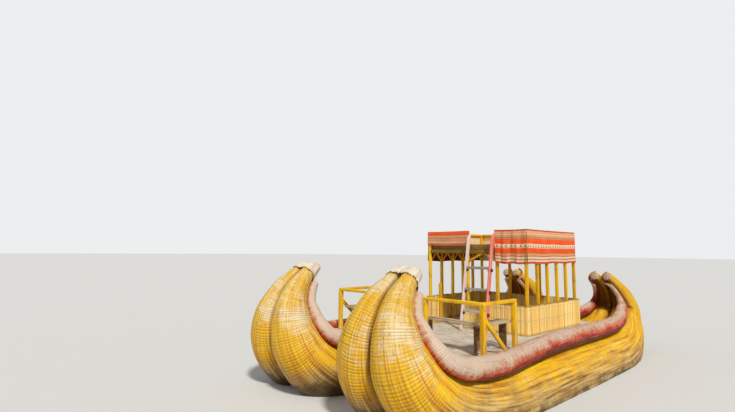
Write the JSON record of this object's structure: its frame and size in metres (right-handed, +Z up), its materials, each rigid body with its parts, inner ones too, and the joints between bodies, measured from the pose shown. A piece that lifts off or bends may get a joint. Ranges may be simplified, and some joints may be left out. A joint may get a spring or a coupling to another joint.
{
  "type": "reed boat",
  "caption": "Twin-hulled boat of bundled reeds with upturned horned ends, a deck cabin with reed walls and cloth-sided upper floor, a ladder and a bow railing.",
  "frame": {"origin": "middle of the boat's outline in plan, on the ground plane under the hulls", "axes": "+X to the bows, +Y to port, +Z up"},
  "size_m": [9.5859, 4.7868, 3.5849],
  "materials": {
    "hull_reed": "dry reed tied in close rings, matt",
    "roll_reed": "dry reed, faded red, matt",
    "hood_cloth": "undyed sacking",
    "deck_mat": "weathered reed matting",
    "pole_wood": "peeled round pole",
    "yellow_timber": "worn yellow paint",
    "grey_board": "weathered board",
    "frame_timber": "rough sawn, in shade",
    "floor_board": "rough planks",
    "striped_cloth": "woven wool with cross stripes",
    "reed_screen": "upright reeds on cords",
    "ladder_timber": "faded paint on wood"
  },
  "bodies": {
    "root": {"bench_front": "grey_board", "bench_legs": "grey_board", "bench_sides": "grey_board", "bundle_port_inner": "hull_reed", "bundle_port_outer": "hull_reed", "bundle_starboard_inner": "hull_reed", "bundle_starboard_outer": "hull_reed", "cloth_aft": "striped_cloth", "cloth_front_port": "striped_cloth", "cloth_front_starboard": "striped_cloth", "cloth_port": "striped_cloth", "cloth_starboard": "striped_cloth", "curls_port": "roll_reed", "curls_starboard": "roll_reed", "deck": "deck_mat", "deck_poles": "pole_wood", "floor_front_board": "floor_board", "floor_joists": "frame_timber", "floor_plates": "frame_timber", "hood_port": "hood_cloth", "hood_starboard": "hood_cloth", "knee_braces": "yellow_timber", "ladder_rungs": "ladder_timber", "ladder_stiles": "ladder_timber", "posts_ends": "yellow_timber", "posts_port": "yellow_timber", "posts_starboard": "yellow_timber", "railing_bars": "yellow_timber", "railing_braces": "yellow_timber", "railing_posts": "yellow_timber", "roll_port_inner_bow": "roll_reed", "roll_port_inner_stern": "roll_reed", "roll_port_outer": "roll_reed", "roll_starboard_inner_bow": "roll_reed", "roll_starboard_inner_stern": "roll_reed", "roll_starboard_outer": "roll_reed", "top_rails": "yellow_timber", "upper_floor": "floor_board", "wall_aft": "reed_screen", "wall_front_port": "reed_screen", "wall_front_starboard": "reed_screen", "wall_port": "reed_screen", "wall_starboard": "reed_screen"}
  },
  "joints": []
}
